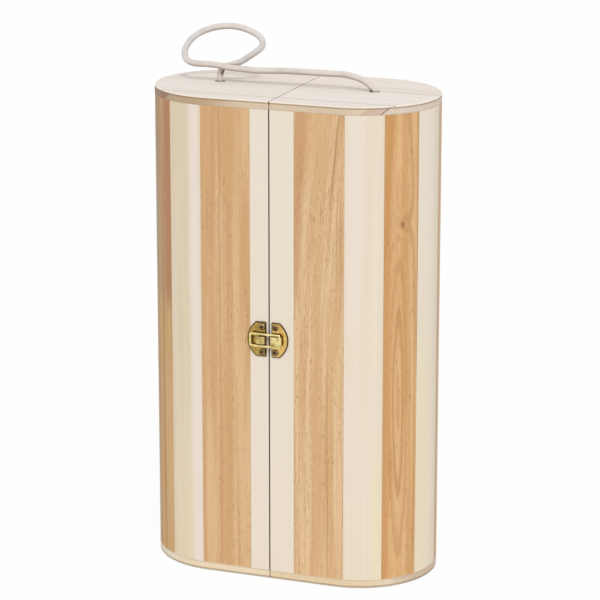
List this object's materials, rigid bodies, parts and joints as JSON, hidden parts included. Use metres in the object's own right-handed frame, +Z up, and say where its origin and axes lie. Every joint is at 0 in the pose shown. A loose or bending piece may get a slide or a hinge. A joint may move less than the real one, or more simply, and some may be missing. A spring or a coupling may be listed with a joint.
{
  "type": "wooden wine box",
  "caption": "Upright wine box of light and dark wood staves with half-round ends. It opens like a book on back hinges, closes with a round brass ring latch and has a rope handle on top.",
  "frame": {"origin": "on the floor, under the middle of the box's bounding box", "axes": "+Z up, front faces -Y with the seam and the latch, hinges at the back, +X to the right seen from the front"},
  "size_m": [0.204, 0.1196, 0.3813],
  "materials": {
    "light_wood": "fine-sanded pale wood with a faint straight grain, matt",
    "dark_wood": "fine-sanded golden brown wood with straight and arched grain, matt",
    "board_wood": "strips of pale wood glued edge to edge, sanded, matt",
    "inner_wood": "plain pale wood, sanded",
    "brass": "bright polished brass",
    "rope": "smooth off-white braided cord"
  },
  "bodies": {
    "left_half": {"left_stave_01": "light_wood", "left_stave_02": "dark_wood", "left_stave_03": "light_wood", "left_stave_04": "dark_wood", "left_stave_05": "light_wood", "left_stave_06": "dark_wood", "left_stave_07": "light_wood", "left_stave_08": "dark_wood", "left_stave_09": "light_wood", "left_stave_10": "dark_wood", "left_top_front": "board_wood", "left_top_middle": "board_wood", "left_top_back": "board_wood", "left_bottom_front": "board_wood", "left_bottom_middle": "board_wood", "left_bottom_back": "board_wood", "left_neck_board": "inner_wood", "upper_hinge_left_leaf": "brass", "lower_hinge_left_leaf": "brass", "upper_hinge_pin": "brass", "lower_hinge_pin": "brass", "left_hinge_screws": "brass", "latch_catch": "brass", "catch_screws": "brass", "handle_rope": "rope", "left_rope_knot": "rope"},
    "right_half": {"right_stave_01": "light_wood", "right_stave_02": "dark_wood", "right_stave_03": "light_wood", "right_stave_04": "dark_wood", "right_stave_05": "light_wood", "right_stave_06": "dark_wood", "right_stave_07": "light_wood", "right_stave_08": "dark_wood", "right_stave_09": "light_wood", "right_stave_10": "dark_wood", "right_top_front": "board_wood", "right_top_middle": "board_wood", "right_top_back": "board_wood", "right_bottom_front": "board_wood", "right_bottom_middle": "board_wood", "right_bottom_back": "board_wood", "right_neck_board": "inner_wood", "upper_hinge_right_leaf": "brass", "lower_hinge_right_leaf": "brass", "right_hinge_screws": "brass", "latch_plate": "brass", "plate_screws": "brass", "right_rope_knot": "rope"},
    "latch_hasp": {"latch_ring": "brass"}
  },
  "joints": [
    {"name": "box_hinge", "type": "hinge", "parent": "left_half", "child": "right_half", "pos_m": [0, 0.0576, 0.17], "axis": [0, 0, 1], "range_deg": [0, 180], "deforming": ["handle_rope"]},
    {"name": "latch_ring_hinge", "type": "hinge", "parent": "right_half", "child": "latch_hasp", "pos_m": [0.0087, -0.0582, 0.174], "axis": [0, 0, 1], "range_deg": [0, 150]}
  ]
}
